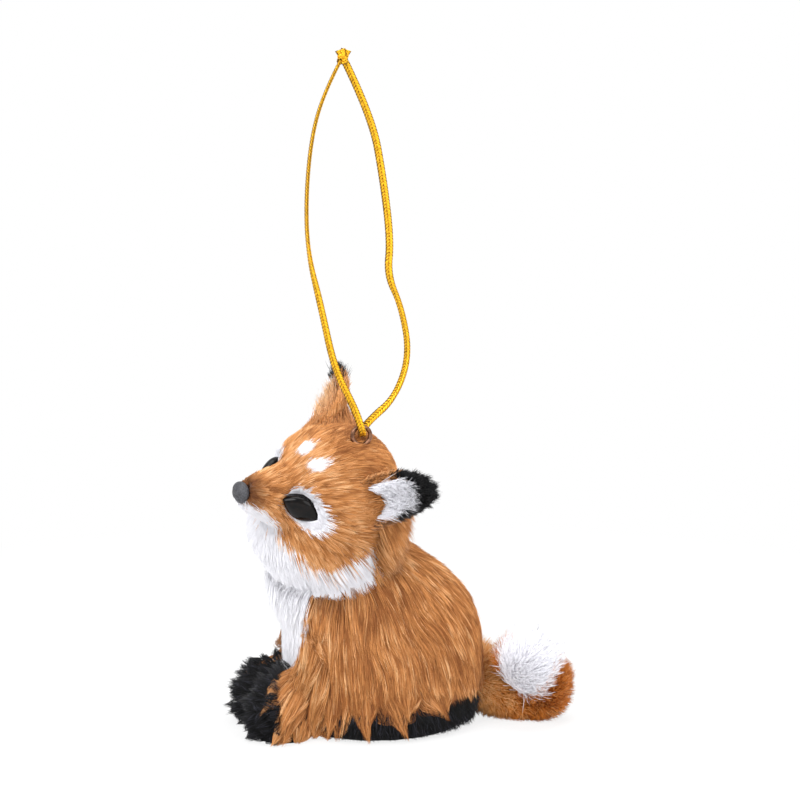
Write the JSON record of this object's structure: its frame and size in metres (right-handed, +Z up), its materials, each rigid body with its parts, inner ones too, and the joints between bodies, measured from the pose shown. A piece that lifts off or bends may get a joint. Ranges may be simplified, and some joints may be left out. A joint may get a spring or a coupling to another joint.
{
  "type": "fox figurine",
  "caption": "Sitting fox figurine in long-pile fur, head cocked to one side, tail curled beside it, with a screw eye in the crown and a swinging cord loop.",
  "frame": {"origin": "centre of the flat underside, at floor height", "axes": "+X is the fox's own left, -Y is the way its body faces, +Z is up"},
  "size_m": [0.0491, 0.0803, 0.1605],
  "materials": {
    "orange_fur": "dense long-pile fox-orange fur, matte",
    "rust_fur": "short-pile rust fur, matte",
    "white_fur": "long-pile white fur, matte",
    "black_fur": "long-pile black fur, slight sheen",
    "eye_gloss": "polished black",
    "nose_black": "matte black with a fine grain",
    "bronze_wire": "dark bronze-brown plated wire",
    "gold_cord": "flat braid of metallic gold yarn",
    "steel_wire": "plain drawn wire",
    "dowel_wood": "plain turned hardwood",
    "fibre_board": "pressed fibre board",
    "foam": "cut polystyrene foam"
  },
  "bodies": {
    "fox": {"screw_eye": "bronze_wire", "neck_dowel": "dowel_wood", "tail_wire": "steel_wire", "nose": "nose_black", "base_board": "fibre_board", "body_form": "foam", "head_form": "foam", "throat_pelt": "white_fur", "head_pelt": "orange_fur", "chest_bib": "white_fur", "torso_pelt": "orange_fur", "base_plush": "black_fur", "tail_pelt": "rust_fur", "tail_tip": "white_fur", "eye_left": "eye_gloss", "eye_right": "eye_gloss", "eye_patch_left": "white_fur", "eye_patch_right": "white_fur", "brow_patch_left": "white_fur", "brow_patch_right": "white_fur", "ear_left": "black_fur", "ear_right": "black_fur", "ear_lining_left": "white_fur", "ear_lining_right": "white_fur", "front_paw_left": "black_fur", "front_paw_right": "black_fur"},
    "loop": {"hanging_cord": "gold_cord", "cord_knot": "gold_cord"}
  },
  "joints": [
    {"name": "loop_swing", "type": "hinge", "parent": "fox", "child": "loop", "pos_m": [0.0071, -0.0061, 0.07295], "axis": [0, 1, 0], "range_deg": [-45, 100]}
  ]
}
